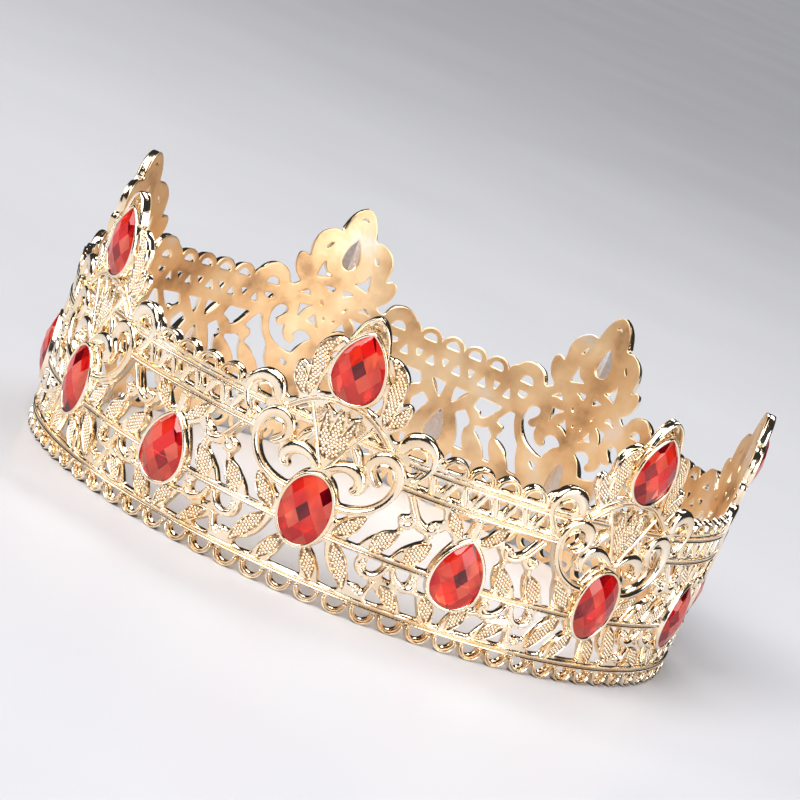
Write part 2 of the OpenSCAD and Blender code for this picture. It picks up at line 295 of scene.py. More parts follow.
def boss(x, y, r, height, foot=SINK, n=20, rings=5):
    """A round boss: a dome on a foot that is sunk into the wall."""
    t = np.linspace(0, 2 * np.pi, n, endpoint=False)
    levels = [(r, foot)] + [
        (r * math.cos(a), height * math.sin(a)) for a in np.linspace(0, np.pi / 2, rings + 1)[:-1]
    ]
    points = [np.stack([x + q * np.cos(t), y + q * np.sin(t), np.full(n, w)], 1) for q, w in levels]
    points = np.concatenate(points + [[[x, y, height]]])
    faces = [
        [k * n + i, k * n + (i + 1) % n, (k + 1) * n + (i + 1) % n, (k + 1) * n + i]
        for k in range(len(levels) - 1) for i in range(n)
    ]
    last = (len(levels) - 1) * n
    faces += [[last + i, last + (i + 1) % n, len(points) - 1] for i in range(n)]
    faces.append(list(range(n))[::-1])
    return points, faces


LEAF_RISE = [(0, 0.15), (0.02, 0.5), (0.05, 0.62), (0.085, 0.5), (0.12, 0.12), (0.3, 0.28), (0.5, 0.34),
             (0.7, 0.28), (0.88, 0.12), (0.915, 0.5), (0.95, 0.62), (0.98, 0.5), (1, 0.15)]
LEAF_FIELD = range(5, 10)  # the strips of the section that lie between the rims, painted dark as shade between the beads
LEAF_STEPS = 26            # points along a leaf
RISE_BREADTH = 1.6         # a leaf narrower than this is lower too
BEAD_PITCH = 0.84
BEAD_R = 0.41
BEAD_HEIGHT = 0.36
BEAD_LEVEL = 0.3           # the field of a leaf, on which its beads stand
BEAD_MARGIN = 0.46         # from the side of a leaf to the middle of its first bead
GROUND_BEAD_R = 0.36
FAN_PITCH, HOOD_PITCH = 0.74, 0.66


def leaf_sides(base, tip, width, bend=0.0):
    """Both sides of a leaf that is fullest a little below its middle."""
    base, tip = np.array(base, float), np.array(tip, float)
    along = tip - base
    side = np.array([-along[1], along[0]]) / np.linalg.norm(along)
    t = np.linspace(0, 1, LEAF_STEPS)[:, None]
    middle = base + along * t + side * bend * np.sin(np.pi * t)
    half = width / 2 * np.sin(np.pi * t**0.85) ** 0.75
    return middle - side * half, middle + side * half


def leaf(right, left):
    """A leaf between two sides: a raised rim round a hollowed, domed field."""
    share = np.array([s for s, _ in LEAF_RISE])
    up = np.array([w for _, w in LEAF_RISE])
    share = np.concatenate([[0], share, [1]])
    up = np.concatenate([[SINK], up, [SINK]])
    n, m = len(right), len(share)
    points = np.zeros((n, m, 3))
    points[:, :, :2] = right[:, None] * (1 - share[None, :, None]) + left[:, None] * share[None, :, None]
    breadth = np.linalg.norm(left - right, axis=1)
    rise = np.clip(breadth / RISE_BREADTH, 0.25, 1)
    points[:, :, 2] = np.where(up > 0, up * rise[:, None], up)
    return points.reshape(-1, 3), tube_faces(n, m)


def bead_places(right, left):
    """Places of the beads on a leaf, in rows across it."""
    middle = (right + left) / 2
    at = distances_along(middle)
    places = []
    rows = np.arange(0.5, at[-1] - 0.4, BEAD_PITCH * 0.9)
    for k, s in enumerate(rows):
        a, b = at_distance(s, at, right), at_distance(s, at, left)
        room = np.linalg.norm(b - a) - 2 * BEAD_MARGIN
        if room < 0:
            continue
        count = int(room / BEAD_PITCH) + 1
        if count > 1 and (count + k) % 2:
            count -= 1
        shares = 0.5 + (np.arange(count) - (count - 1) / 2) * BEAD_PITCH / np.linalg.norm(b - a)
        places += [a + (b - a) * q for q in shares]
    return np.array(places).reshape(-1, 2)


def field_places(field, holes, pitch):
    """Places of beads, in a close lattice over a flat field, clear of its edge and of the holes."""
    low, high = field.min(0), field.max(0)
    row = pitch * 0.87
    grid = np.array([
        (low[0] + pitch * (i + 0.5 * (j % 2)), low[1] + row * j)
        for i in range(int((high[0] - low[0]) / pitch) + 2)
        for j in range(int((high[1] - low[1]) / row) + 2)
    ])
    clear = np.ones(len(grid), bool)
    for a in np.arange(0, 2 * np.pi, np.pi / 3):
        edge = grid + 0.55 * pitch * np.array([math.cos(a), math.sin(a)])
        clear &= inside(edge, [field]) & ~inside(edge, holes)
    return grid[clear]


def beads(places, r, level):
    """A dome at each place, all in one mesh."""
    template, shape = boss(0, 0, r, BEAD_HEIGHT, foot=-0.2, n=8, rings=3)
    template = template + [0, 0, level]
    points, faces = [], []
    for k, place in enumerate(places):
        points.append(template + [place[0], place[1], 0])
        faces += [[k * len(template) + i for i in face] for face in shape]
    return np.concatenate(points), faces


def leaf_painted_shade(count):
    """Which material each face of the leaves has: 1, with painted shade, in the fields between the rims."""
    m = len(LEAF_RISE) + 2
    one = [1 if j in LEAF_FIELD else 0 for _ in range(LEAF_STEPS - 1) for j in range(m)] + [0, 0]
    return one * count


def mirror_solid(solid):
    """The same solid on the other side of the peak, or beyond the seam where it belongs."""
    points, faces = solid
    points = points * [-1, 1, 1]
    if points[:, 0].mean() < SEAM_U:
        points = points + [PITCH, 0, 0]
    return points, [face[::-1] for face in faces]


def both(solids):
    return solids + [mirror_solid(s) for s in solids]


def join(solids):
    points, faces, start = [], [], 0
    for p, f in solids:
        points.append(p)
        faces += [[start + i for i in face] for face in f]
        start += len(p)
    return np.concatenate(points), faces


# ---------------------------------------------------------------------------------------------
# The wall: outlines and openings of one unit
# ---------------------------------------------------------------------------------------------
CREST = [
    (0, 50), (1.4, 49.5), (2.8, 48), (3.8, 46.2), (4.5, 44.2), (4.9, 42.3), (5.4, 41.7), (7, 42), (9, 41.3),
    (10.8, 39.9), (11.9, 38.1), (12.3, 36), (12.2, 33.8), (12.1, 31.9), (12.9, 32.6), (14, 32.9),
    (15.1, 32.3), (15.6, 30.9), (15.3, 28.5), (14.3, 26.5), (12.9, 25.2), (12, 24.4), (12.9, 23.7),
    (13.9, 23), (15.1, 23.6), (15.6, 24.9), (16.6, 26.2), (18.1, 27.1), (19.9, 27.5), (21.7, 27.3),
    (23.3, 26.4), (24.3, 25.3), (25.4, 24.7), (26.4, 23.5), (26.8, 21), (26.8, 18),
]
CREST_OPENINGS = [
    [(3.4, 28.5), (5.2, 29.2), (6.4, 30.5), (7, 32.4), (7.6, 30.2), (7.9, 27.2), (5.6, 27.9)],
    [(6.4, 38), (7, 37.8), (7.9, 36.6), (8.3, 35.6), (7.5, 35.9), (6.9, 36.9)],
    [(1.2, 25.7), (2.9, 25.6), (4.6, 25.3), (3, 24.6), (1.7, 23.8)],
]
FAN_OPENINGS = [
    [(7.5, 21.4), (8.4, 22.6), (9.1, 23), (10.2, 22.3), (11.6, 21.1), (9.5, 21.7)],
    [(3, 19.4), (3.4, 20.6), (4.2, 21.3), (3.9, 20.2)],
    [(5.7, 18.9), (7.6, 18.5), (9.7, 18.5), (9.5, 16.5), (9.1, 14.4), (8.6, 15.8), (7.5, 17.6)],
    [(1, 15.5), (1.5, 16.8), (1.9, 16.9), (1.6, 15.8)],
    [(2, 12.6), (3.2, 14.6), (4.5, 16.9), (5.1, 15.4), (6.3, 14.4), (4, 13.9)],
]
HEART_OPENINGS = [
    [
        (2.6, 9.3), (4, 10.5), (5.6, 11.1), (7.2, 10.8), (8.2, 9.9), (8.3, 8.8), (7.6, 8), (7.7, 7.1),
        (8.7, 6.6), (10.1, 6.9), (11.3, 8), (12, 9.6), (12, 11.4), (13, 10.7), (14.2, 10.7), (15, 11.3),
        (14.8, 12.4), (13.4, 13.7), (12.6, 15.1), (12.8, 16.2), (14.2, 16.6), (15.7, 16.2), (16.8, 14.9),
        (17.2, 12.9), (16.9, 10.8), (16, 8.6), (14.5, 6.7), (12.2, 5.2), (9.5, 4.3), (7, 3.9), (6.2, 5.2),
        (5.3, 6.9), (4.2, 8.3),
    ],
    [
        (19.4, 12), (21.2, 12), (22.4, 10.3), (23.9, 7.8), (22.9, 7.4), (21.8, 7), (21.3, 6.2), (21.5, 4.9),
        (22.3, 3.9), (22.2, 2.9), (20.9, 2.1), (19, 1), (17.2, -0.5), (15.7, -2.3), (14.9, -3.9),
        (11.9, -3.9), (13.2, -1.6), (14.2, 0.5), (14.7, 2.5), (15.2, 4), (16.9, 6), (18.3, 8.4), (19.1, 10.4),
    ],
    [(7.2, 1.3), (8.6, 1.6), (10, 1.8), (8.8, 0.6), (7.6, -0.3)],
    half_disc(20.05, 21.3, 2.1, 1),
    [(18.3, 18.6), (21.5, 18.6), (21, 17.4), (19.2, 17), (18.6, 17.6)],
]
UPPER_OPENINGS = [
    [(23.8, 12), (25.5, 9.5), (27, 7.7), (28.8, 6.7), (29.3, 7.6), (30.1, 8.3), (31.3, 8.7), (32.1, 9.1),
     (31.4, 10.7), (30.8, 12)],
    [(25.4, 5.2), (26.9, 4.3), (29.3, 3.9), (29.3, 2.7), (28, 1.9), (26.4, 0.6), (24.9, -0.9), (23.9, -2.4),
     (23.2, -3.9), (20.8, -3.9), (22.1, -2), (23, -0.2), (23.6, 1.8), (23.2, 3.1), (24.2, 3.8)],
    [(33.6, 7.1), (36.2, 5.2), (34.9, 2.8), (33.8, 0.2), (33.1, -2), (32.9, -3.9), (29.9, -3.9), (31, -2.2),
     (31.8, -0.2), (32.1, 2.2), (31.3, 2.9), (31.1, 4.2), (32.3, 5.6)],
    [(34.4, 11.9), (39, 11.9), (38.9, 9.6), (38.5, 7.4), (37.4, 8.3), (36, 9.9)],
]
LOWER_OPENINGS = [
    [(7, -6.1), (7.7, -8.5), (9, -11), (10.9, -13.1), (13.4, -14.5), (14.3, -15.4), (13.6, -16.1),
     (9.2, -16.1), (8.7, -14.4), (7.8, -12.6), (6.2, -10.5), (4.3, -8.8), (5.8, -7.6)],
    [(11, -6.1), (15.9, -6.1), (15.4, -7.8), (16.1, -9.8), (17.8, -11), (20.7, -11.1), (20.6, -12.7),
     (19.8, -14), (18.6, -13.1), (17, -13.3), (16, -13.2), (15, -11), (13.6, -8.9), (12.3, -7.2)],
    [(18.6, -6.1), (22.3, -6.1), (21.8, -7.6), (20.7, -9), (19.2, -9.2), (18.6, -7.8)],
    [(25.8, -6.1), (29.6, -6.1), (29.4, -8.5), (28.6, -9), (27, -8.5), (26, -7.2)],
    [(24.3, -7), (25.6, -9.7), (23.2, -9.1)],
    [(32, -6.1), (33.4, -6.1), (33.7, -7.8), (35.2, -9.8), (32.7, -9.5), (32.3, -8)],
    [(22.3, -12.8), (24.2, -14.3), (26.4, -15.5), (24.5, -16.1), (21.7, -16.1), (21.8, -14.5)],
    [(28.1, -11.9), (30.5, -11.4), (32.7, -11), (33.8, -13.3), (35.4, -16.1), (30.9, -16.1), (29.7, -13.9)],
]
LATTICE_STEP = 8.15
CROWDED = 0.16             # loose points inside the wall lie no closer together than this,
SEAM_CLEAR = 0.3           # and no closer than this to a seam
GRID_STEP = 1.1            # the lattice of loose points
GRID_ROW = GRID_STEP * 0.866
GRID_LOW, GRID_HEIGHT = BAND_LOW - 4, 74
SEAM_ZS = np.linspace(-30, 30, 121)    # points along a seam, past both edges of the band


def wedge_hole(x, tip, base, w):
    return [(x, tip), (x - w / 2, base), (x + w / 2, base)]


LATTICE_OPENINGS = (
    [wedge_hole(SIDE_U - LATTICE_STEP * i, 18, 15.2, 3 - 0.2 * i) for i in (1, 2)]
    + [wedge_hole(SIDE_U - LATTICE_STEP * (i + 0.5), 15.8, 18, 2.3) for i in (0, 1)]
    + [half_disc(u, TOP_LOOP_Z, EYE_R, 1) for u in TOP_LOOP_US]
)
AXIS_OPENINGS = [
    [(-1.3, 46.2), (0, 47.3), (1.3, 46.2), (0, 46.7)],
    [(0, -10.6), (1.8, -10.3), (2.3, -12.2), (3.2, -14.4), (4.2, -16.1), (-4.2, -16.1), (-3.2, -14.4),
     (-2.3, -12.2), (-1.8, -10.3)],
]
SIDE_AXIS_OPENINGS = [
    [(-3.5, -11), (-2.1, -12.6), (-1.2, -14.5), (-0.9, -16.1), (0.9, -16.1), (1.2, -14.5), (2.1, -12.6),
     (3.5, -11), (1.8, -11.6), (0, -12), (-1.8, -11.6)],
    [(0, 18), (-1.5, 15.2), (1.5, 15.2)],
]


def foot_loop_us():
    """Middles of the foot loops that touch the unit."""
    return [PITCH / FOOT_LOOPS * k for k in range(-5, 8)]


def repeated(loops):
    """Loops and their mirror images, in every place where they touch the unit."""
    made = []
    for loop in loops:
        for side in (1, -1):
            for shift in (-PITCH, 0, PITCH):
                q = np.array(loop, float) * [side, 1] + [shift, 0]
                if q[:, 0].max() > SEAM_U - 1 and q[:, 0].min() < SEAM_U + PITCH + 1:
                    made.append(q)
    return made


def wall_loops():
    """Outer outlines, openings, stone pockets and windows of the wall, as dense closed loops."""
    left, right = SEAM_U - 1.5, SEAM_U + PITCH + 1.5
    band = [(left, BAND_LOW), (right, BAND_LOW), (right, BAND_HIGH), (left, BAND_HIGH)]
    outer = [smooth_line(band, True, corner=10, step=0.9), soft_loop(symmetric(CREST))]
    outer += [arc(u, FOOT_LOOP_Z, FOOT_LOOP_R, 0, 345, 40) for u in foot_loop_us()]
    outer += repeated([arc(u, TOP_LOOP_Z, TOP_LOOP_R, 0, 345, 40) for u in TOP_LOOP_US])
    drawn = (
        CREST_OPENINGS + FAN_OPENINGS + HEART_OPENINGS + UPPER_OPENINGS + LOWER_OPENINGS + LATTICE_OPENINGS
    )
    openings = [soft_loop(q) for q in repeated(drawn)]
    openings += [soft_loop(q) for q in AXIS_OPENINGS]
    openings += [soft_loop(np.array(q, float) + [SIDE_U, 0]) for q in SIDE_AXIS_OPENINGS]
    openings += [soft_loop(half_disc(u, FOOT_LOOP_Z + 0.1, EYE_R, -1)) for u in foot_loop_us()]
    pear, oval = pear_outline(STONE_A, PEAR_TIP), oval_outline(STONE_A, OVAL_B)
    pockets = [pear + [0, PEAK_Z], oval + [0, OVAL_Z], pear + [SIDE_U, SIDE_Z]]
    windows = [
        pear_outline(WINDOW_A, PEAK_WINDOW_TIP) + [0, PEAK_Z],
        oval_outline(WINDOW_A, WINDOW_B) + [0, OVAL_Z],
        pear_outline(SIDE_WINDOW_A, SIDE_WINDOW_TIP) + [SIDE_U, SIDE_Z + SIDE_WINDOW_RISE],
    ]
    return outer, openings, pockets, windows


def inside(points, loops):
    """Which points lie inside any of the loops."""
    found = np.zeros(len(points), bool)
    x, y = points[:, 0], points[:, 1]
    for loop in loops:
        near = np.nonzero(
            (x > loop[:, 0].min()) & (x < loop[:, 0].max()) & (y > loop[:, 1].min()) & (y < loop[:, 1].max())
        )[0]
        x0, y0 = loop.T
        x1, y1 = np.roll(loop, -1, 0).T
        slope = (x1 - x0) / np.where(y1 == y0, 1e-12, y1 - y0)
        crossed = ((y0 > y[near, None]) != (y1 > y[near, None])) & (
            x[near, None] < x0 + slope * (y[near, None] - y0)
        )
        found[near[crossed.sum(1) % 2 == 1]] = True
    return found


def tree_of(points):
    tree = kdtree.KDTree(len(points))
    for i, p in enumerate(points):
        tree.insert((p[0], p[1], 0), i)
    tree.balance()
    return tree


def distances(points, loops):
    """How far each point is from the nearest point of the loops."""
    tree = tree_of(np.concatenate(loops))
    return np.array([tree.find((p[0], p[1], 0))[2] for p in points])


def from_seam(u):
    """How far along the wall it is to the nearer seam of the unit."""
    return np.abs(np.abs(u - SEAM_U - SIDE_U) - SIDE_U)


def thinned(points, gap):
    """The points, without those that crowd an earlier one."""
    tree = tree_of(points)
    keep = np.ones(len(points), bool)
    for i, p in enumerate(points):
        if keep[i]:
            for _, j, _ in tree.find_range((p[0], p[1], 0), gap):
                keep[j] &= j <= i
    return points[keep]


def wall_points(loops, hidden, is_solid):
    """Points inside the wall: rows along each edge, where its slope changes, and a lattice. Of
    every loop, hidden says which points lie inside another outline and so are no edge."""
    rows = []
    for loop, unseen in zip(loops, hidden):
        rows += [(loop + outward(loop) * d * q)[~unseen] for d in EDGE[1:3] for q in (-1, 1)]
    rows = thinned(np.concatenate(rows), CROWDED)
    seen = [loop[~unseen] for loop, unseen in zip(loops, hidden) if not unseen.all()]
    grid = [
        (SEAM_U + GRID_STEP * (i + 0.5 * (j % 2)), GRID_LOW + GRID_ROW * j)
        for i in range(int(PITCH / GRID_STEP) + 1) for j in range(int(GRID_HEIGHT / GRID_ROW))
    ]
    made = []
    for points, clear in ((rows, 0.9 * EDGE[1]), (np.array(grid), EDGE[3])):
        points = points[is_solid(points) & (from_seam(points[:, 0]) > SEAM_CLEAR)]
        made.append(points[distances(points, seen) > clear])
    return thinned(np.concatenate(made), CROWDED)


def wall_solid():
    """The openwork wall: its points, its faces, and how many of the last faces are edges and back."""
    outer, openings, pockets, windows = wall_loops()
    is_solid = lambda p: (
        inside(p, outer) & ~inside(p, openings) & ~inside(p, windows)
        & (p[:, 0] > SEAM_U - LAP) & (p[:, 0] < SEAM_U + PITCH + LAP)
    )
    loops = outer + openings + pockets + windows
    hidden = [inside(loop, [other for other in outer if other is not loop]) for loop in outer]
    hidden += [np.zeros(len(loop), bool) for loop in loops[len(outer):]]
    loose = wall_points(loops, hidden, is_solid)
    points, edges = [], []
    for loop, unseen in zip(loops, hidden):
        keep = ~(unseen & np.roll(unseen, 1) & np.roll(unseen, -1))
        number = len(points) + np.cumsum(keep) - 1
        points += [Vector(p) for p in loop[keep]]
        bounds = ~(unseen & np.roll(unseen, -1))
        edges += [(int(number[i]), int(number[(i + 1) % len(loop)])) for i in np.nonzero(bounds)[0]]
    for u in (SEAM_U - LAP, SEAM_U + PITCH + LAP):
        edges += [(len(points) + i, len(points) + i + 1) for i in range(len(SEAM_ZS) - 1)]
        points += [Vector((u, z)) for z in SEAM_ZS]
    points += [Vector(p) for p in loose]
    made = delaunay_2d_cdt(points, edges, [], 0, 1e-4)
    flat = np.array([tuple(p) for p in made[0]])
    tris = np.array([f for f in made[2] if len(f) == 3])
    tris = tris[is_solid(flat[tris].mean(1))]
    low = inside(flat[tris].mean(1), pockets)
    count = len(flat)
    beside = {}
    for t, tri in enumerate(tris):
        for a, b in ((tri[0], tri[1]), (tri[1], tri[2]), (tri[2], tri[0])):
            beside.setdefault((min(a, b), max(a, b)), []).append(t)
    level = np.where(low, count, 0)
    walls, rim = [], np.zeros(count, bool)
    for (a, b), owners in beside.items():
        if len(owners) == 1:
            top = level[owners[0]]
            walls.append([a + top, b + top, b + 2 * count, a + 2 * count])
            if from_seam(flat[[a, b], 0]).max() > 2 * LAP:
                rim[[a, b]] = True
        elif level[owners[0]] != level[owners[1]]:
            walls.append([a, b, b + count, a + count])
    solid = np.zeros((3 * count, 3))
    solid[:, :2] = np.tile(flat, (3, 1))
    solid[:count, 2] = -np.interp(distances(flat, [flat[rim]]), EDGE, EDGE_DROP)
    solid[count:2 * count, 2] = POCKET_W
    solid[2 * count:, 2] = -WALL + np.where(rim, BACK_DROP, 0)
    front = (tris + level[:, None]).tolist()
    back = (tris[:, ::-1] + 2 * count).tolist()
    return solid, front + walls + back, len(walls) + len(back)


# ---------------------------------------------------------------------------------------------
# Relief: drawn for the right half of a unit and mirrored
# ---------------------------------------------------------------------------------------------
SCROLLS = [
    # the heart scroll, from the oval stone out, up and round into its hook
    ([(6.3, 2.9), (9, 3.1), (11.8, 4), (14.3, 5.4), (16.3, 7.4), (17.7, 9.8), (18.4, 12.4), (18.1, 15.1),
      (16.7, 17.4), (14.2, 18.4), (11.9, 17.6), (10.9, 15.8), (11.2, 14), (12.4, 12.5), (14.3, 11.4)],
     [1.9, 1.9, 2, 2, 2.1, 2.1, 2.2, 2.5, 3.0, 3.5, 3.8, 3.6, 3.0, 2.0, 0.8], SCROLL),
    # the volute inside the heart
    ([(0.4, 9.9), (2.4, 11.4), (4.4, 12.5), (6.6, 12.8), (8.7, 12.1), (9.9, 10.5), (10.1, 8.9), (9.4, 7.7),
      (8.5, 7.4)], [1.2, 1.7, 2.3, 2.9, 3.4, 3.4, 2.7, 1.7, 1.0], TUBE),
    # the round scroll beside the peak
    ([(15.9, 20.6), (16.3, 23), (17.8, 25), (20, 25.7), (22.3, 25.2), (24.1, 23.4), (24.6, 20.8),
      (23.6, 18.2), (22.1, 16.2), (20.5, 15)], [1.8, 3.1, 4.0, 3.7, 2.9, 2.2, 1.8, 1.5, 1.3, 1], TUBE),
    (arc(20.05, 21.3, 2.5, 0, 180), [0.8], ROUND),
    # the double volute under the top rails, with its stem
    ([(22.3, 12.5), (23.8, 10.2), (25.2, 8.2), (26.6, 6.8)], [1.8, 1.8, 1.7, 1.2], RIDGES),
    ([(25.4, 7.4), (27.2, 5.8), (29, 5.3), (30.6, 5.9), (31.2, 7.1), (30.4, 7.9)],
     [1.2, 1.7, 1.9, 1.7, 1.4, 1.1], ROUND),
    ([(25.2, 7.4), (25.2, 5.8), (24.2, 4.8), (22.8, 4.7), (22.1, 5.6), (22.4, 6.5)],
     [1.2, 1.6, 1.8, 1.6, 1.3, 1.1], ROUND),
    ([(23.2, 4.2), (22.7, 2.3)], [1.2, 1], ROUND),
    ([(30.4, 4.6), (30.5, 2.3)], [1.3, 1.1], ROUND),
    # the two crescents, the hook and the link under the middle rail
    ([(23.7, -5.8), (22.9, -8), (21.3, -9.7), (19.1, -10.1), (17.4, -9.3), (16.8, -7.9), (17.6, -7.2)],
     [1.2, 1.5, 1.7, 1.8, 1.7, 1.4, 1.1], ROUND),
    ([(24.8, -5.8), (25.9, -8.1), (27.9, -9.8), (30, -10.2), (31.3, -9.2), (31.2, -7.6), (30.6, -6.9)],
     [1.2, 1.4, 1.7, 1.9, 1.7, 1.4, 1.1], ROUND),
    ([(21.9, -10.6), (21.3, -13), (20.5, -14.6), (19.3, -15.1), (18.3, -14.5)],
     [1.2, 1.3, 1.3, 1.2, 1.1], ROUND),
    ([(31.3, -9.8), (33, -10.4), (34.8, -10.4)], [1.2, 1.2, 1.1], ROUND),
    # ribs of the fan and the petals outside them
    ([(1.1, 10.9), (3.4, 15.6), (5.9, 20.3), (8.1, 24.3)], [1.0, 0.9, 0.9, 0.9], ROUND),
    ([(7.9, 13.9), (6.7, 15.9), (5.1, 18)], [0.9, 1.7, 0.9], LOW_ROUND),
    ([(10.6, 21.6), (8, 23.4)], [0.8, 0.7], LOW_ROUND),
]
BULBS = [(30.2, 7.3, 0.95), (22.4, 6.2, 0.95), (17.6, -7.4, 0.95), (30.5, -7.4, 0.95), (18.2, -14.1, 0.95),
         (13.9, 20.6, 1.0)]
ARCHES = [
    ([(0, 26.9), (3, 26.8), (5.6, 26.2), (8.4, 24.8), (11, 22.9), (13.3, 20.8)], 1.5, RIDGES),
    ([(0, 49.4), (1.4, 48.6), (2.8, 47.1), (3.8, 45.2), (4.4, 43.4), (4.9, 42)], 1.05, TUBE),
]
LEAVES = [
    # base, tip, width, bend
    ((10.4, 25.2), (14.4, 32.4), 3.5, -0.5),
    ((7.9, -3.6), (14.5, 3.3), 4.2, -0.3),
    ((17.9, -4.1), (22.9, 2.9), 4.5, 0.3),
    ((26.9, -4.1), (31.4, 2.7), 4.6, 0.3),
    ((32.5, 12.4), (37.8, 6.3), 3.5, -0.2),
    ((8.9, -5.6), (15.4, -15.6), 4.3, 0.3),
    ((2.8, -9.3), (7.2, -16.6), 3.9, 0.3),
    ((23.5, -11.4), (29.4, -16.5), 3.7, 0.5),
    ((34.7, -10.4), (37.9, -16.6), 4.0, 0.3),
    ((0.9, 12.8), (3.8, 24.4), 2.8, -0.2),
]
PEAK_LEAF_OUTER = [(9.6, 25.3), (11.1, 28), (11.5, 31.5), (12, 34), (11.7, 36.8), (10.4, 39.4), (8.2, 41),
                   (5.9, 41.3)]
PEAK_LEAF_INNER = [(9.6, 25.3), (8.6, 27.5), (8.3, 30.5), (7.8, 33), (7.6, 34.8), (8.2, 36.2), (7.7, 38.4),
                   (5.9, 41.3)]


def resampled(points):
    line = smooth_line(points)
    at = distances_along(line)
    return at_distance(np.linspace(0, at[-1], LEAF_STEPS), at, line)


def leaf_pairs():
    pairs = [leaf_sides(*leaf_shape) for leaf_shape in LEAVES]
    pairs.append((resampled(PEAK_LEAF_OUTER), resampled(PEAK_LEAF_INNER)))
    return pairs


def axis_leaf_pairs():
    """The middle leaf of the fan, which is its own mirror image."""
    return [leaf_sides((0, 12.2), (0, 25.4), 3.4)]


def ground_places(pairs):
    """Beads on the wall itself: between the rods of the fan, and in the hood over the peak stone."""
    hood_top = symmetric([(0, 48.9), (1.3, 48), (2.5, 46.7), (3.5, 44.9), (4.3, 42.6)])
    hood = np.array(hood_top + [(4, 41.5), (-4, 41.5)])
    fan_top = symmetric([(0, 25.9), (2.8, 25.7), (5.2, 25.1), (7.4, 23.7)])
    fan = np.array(fan_top + [(0.5, 12.2), (-0.5, 12.2)])
    leaves = [np.concatenate([right, left[::-1]]) for right, left in pairs]
    stone = grown(pear_outline(STONE_A, PEAR_TIP), BEZEL_W) + [0, PEAK_Z]
    openings = [soft_loop(q) for q in repeated(CREST_OPENINGS + FAN_OPENINGS)]
    openings += [soft_loop(q) for q in AXIS_OPENINGS]
    holes = leaves + [stone] + openings
    return [field_places(fan, holes, FAN_PITCH), field_places(hood, holes, HOOD_PITCH)]


def rails():
    """The four rails. The top ones leave out the heart. All of them are cut square at the seams."""
    start, end = SEAM_U, SEAM_U + PITCH
    made = [rail(start, end, z, LOW_RAIL_H) for z in LOW_RAIL_ZS]
    for z in TOP_RAIL_ZS:
        made += [rail(start, -RAIL_END_U, z, TOP_RAIL_H), rail(RAIL_END_U, end, z, TOP_RAIL_H)]
    return made


def rail(start, end, z, height):
    """A ridged rail along the wall, with square ends."""
    profile = [(RIDGES[0][0], SINK)] + RIDGES + [(RIDGES[-1][0], SINK)]
    us = np.linspace(start, end, max(2, int(end - start)))
    points = np.array([(u, z - x * height / 2, w) for u in us for x, w in profile])
    return points, tube_faces(len(us), len(profile))


def loop_ribs():
    """Ribs round the eyes of the loops: along the foot and along the top."""
    r = (FOOT_LOOP_R + EYE_R) / 2
    low = [
        sweep(arc(u, FOOT_LOOP_Z, r, 178, 362, 40), RIB_W, RIDGES)
        for u in foot_loop_us() if SEAM_U < u < SEAM_U + PITCH
    ]
    r = (TOP_LOOP_R + EYE_R) / 2
    high = [sweep(arc(u, TOP_LOOP_Z - 0.3, r, -4, 184, 40), RIB_W, RIDGES) for u in TOP_LOOP_US]
    return low + both(high)


def lattice():
    """Petals between the two top rails, and the petal over the side stone."""
    made = []
    for i in range(3):
        c = SIDE_U - LATTICE_STEP * i
        for side in (-1, 1) if i else (-1,):
            line = [(c + side * 1.3, 18.9), (c + side * 2, 16.6), (c + side * 2.9, 14.2)]
            made.append(sweep(smooth_line(line), [1.1, 2.0, 1.1], LOW_ROUND))
    made = both(made)
    made.append(sweep([(SIDE_U, 12.7), (SIDE_U, 9.5), (SIDE_U, 6.8)], [1.5, 2.2, 1.0], ROUND))
    return made


def scrolls():
    made = [sweep(smooth_line(line), widths, profile) for line, widths, profile in SCROLLS]
    made += [boss(x, y, r, 1.05) for x, y, r in BULBS]
    made.append(sweep([(6.2, 20.1), (12.8, 20.1)], 1.4, RIDGES))
    made = both(made)
    made += [sweep(smooth_line(symmetric(half)), width, profile) for half, width, profile in ARCHES]
    return made


def grown(outline, by):
    """The outline, moved out by a distance."""
    return outline + outward(outline) * by


